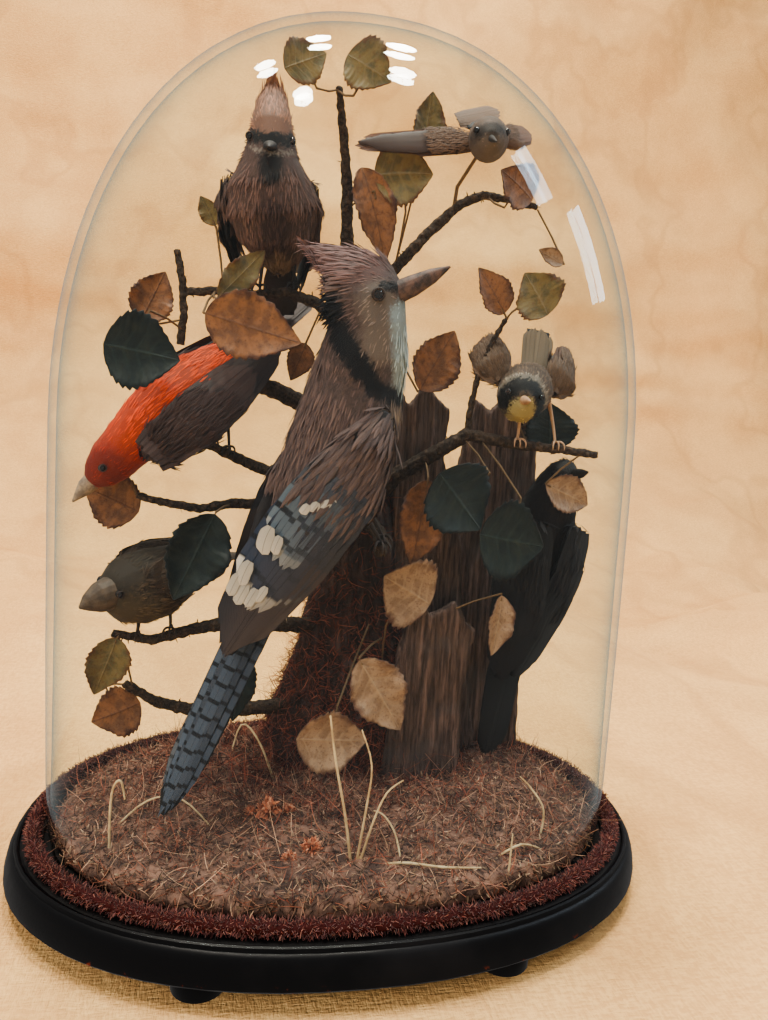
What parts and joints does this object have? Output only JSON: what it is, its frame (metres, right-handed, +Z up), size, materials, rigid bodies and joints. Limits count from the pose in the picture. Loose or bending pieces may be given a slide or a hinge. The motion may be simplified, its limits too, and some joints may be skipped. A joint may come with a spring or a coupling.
{
  "type": "bell jar dome",
  "caption": "Oval glass dome that lifts off a moulded black plinth on bun feet, with a chenille cord round its foot and small mounted birds on branches inside.",
  "frame": {"origin": "on the floor under the middle of the plinth", "axes": "+Z up, -Y towards the front of the display, +X to its right as seen from the front"},
  "size_m": [0.317, 0.229, 0.4175],
  "materials": {
    "pine_board": "matt",
    "ebonised_wood": "satin",
    "ebonised_foot": "satin",
    "screw_steel": "dull",
    "dome_glass": "clear",
    "chenille": "pile",
    "moss_ground": "matt",
    "dark_bark": "rough",
    "split_bark": "rough",
    "dry_grass": "matt",
    "dried_flower": "matt",
    "branch_wood": "rough",
    "leaf_dark_green": "waxed",
    "leaf_olive": "waxed",
    "leaf_russet": "matt",
    "leaf_straw": "matt",
    "wrapped_wire": "paper wrapped",
    "eye_glass": "gloss",
    "jay_feathers": "soft",
    "jay_horn": "satin",
    "jay_flight_feathers": "soft",
    "jay_tail_feathers": "soft",
    "jay_skin": "matt",
    "tanager_feathers": "soft",
    "tanager_horn": "satin",
    "tanager_flight_feathers": "soft",
    "tanager_tail_feathers": "soft",
    "tanager_skin": "matt",
    "waxwing_feathers": "soft",
    "waxwing_horn": "satin",
    "waxwing_flight_feathers": "soft",
    "waxwing_tail_feathers": "soft",
    "waxwing_skin": "matt",
    "yellowthroat_feathers": "soft",
    "yellowthroat_horn": "satin",
    "yellowthroat_flight_feathers": "soft",
    "yellowthroat_tail_feathers": "soft",
    "yellowthroat_skin": "matt",
    "finch_feathers": "soft",
    "finch_horn": "satin",
    "finch_flight_feathers": "soft",
    "finch_tail_feathers": "soft",
    "finch_skin": "matt",
    "hummingbird_feathers": "soft",
    "hummingbird_horn": "satin",
    "hummingbird_flight_feathers": "soft",
    "hummingbird_tail_feathers": "soft",
    "blackbird_feathers": "soft",
    "blackbird_horn": "satin",
    "blackbird_flight_feathers": "soft",
    "blackbird_tail_feathers": "soft",
    "blackbird_skin": "matt"
  },
  "bodies": {
    "base": {"base_board": "pine_board", "plinth_moulding": "ebonised_wood", "bun_feet": "ebonised_foot", "foot_screws": "screw_steel", "chenille_trim": "chenille", "groundwork": "moss_ground", "tree_stump": "dark_bark", "bark_slabs": "split_bark", "grass_stalks": "dry_grass", "dried_flowers": "dried_flower", "crown_branch": "branch_wood", "upper_right_branch": "branch_wood", "waxwing_branch": "branch_wood", "tanager_branch": "branch_wood", "jay_perch": "branch_wood", "finch_branch": "branch_wood", "low_left_branch": "branch_wood", "yellowthroat_branch": "branch_wood", "leaves_dark_green": "leaf_dark_green", "leaves_olive": "leaf_olive", "leaves_russet": "leaf_russet", "leaves_straw": "leaf_straw", "leaf_wires": "wrapped_wire", "glass_eyes": "eye_glass", "jay_body": "jay_feathers", "jay_bill": "jay_horn", "jay_wings": "jay_flight_feathers", "jay_tail": "jay_tail_feathers", "jay_legs": "jay_skin", "tanager_body": "tanager_feathers", "tanager_bill": "tanager_horn", "tanager_wings": "tanager_flight_feathers", "tanager_tail": "tanager_tail_feathers", "tanager_legs": "tanager_skin", "waxwing_body": "waxwing_feathers", "waxwing_bill": "waxwing_horn", "waxwing_wings": "waxwing_flight_feathers", "waxwing_tail": "waxwing_tail_feathers", "waxwing_legs": "waxwing_skin", "yellowthroat_body": "yellowthroat_feathers", "yellowthroat_bill": "yellowthroat_horn", "yellowthroat_wings": "yellowthroat_flight_feathers", "yellowthroat_tail": "yellowthroat_tail_feathers", "yellowthroat_legs": "yellowthroat_skin", "finch_body": "finch_feathers", "finch_bill": "finch_horn", "finch_wings": "finch_flight_feathers", "finch_tail": "finch_tail_feathers", "finch_legs": "finch_skin", "hummingbird_body": "hummingbird_feathers", "hummingbird_bill": "hummingbird_horn", "hummingbird_wings": "hummingbird_flight_feathers", "hummingbird_tail": "hummingbird_tail_feathers", "hummingbird_wire": "wrapped_wire", "blackbird_body": "blackbird_feathers", "blackbird_bill": "blackbird_horn", "blackbird_wings": "blackbird_flight_feathers", "blackbird_tail": "blackbird_tail_feathers", "blackbird_legs": "blackbird_skin"},
    "dome": {"glass_dome": "dome_glass"}
  },
  "joints": [
    {"name": "dome_lift", "type": "slide", "parent": "base", "child": "dome", "axis": [0, 0, 1], "range_m": [0, 0.4]}
  ]
}
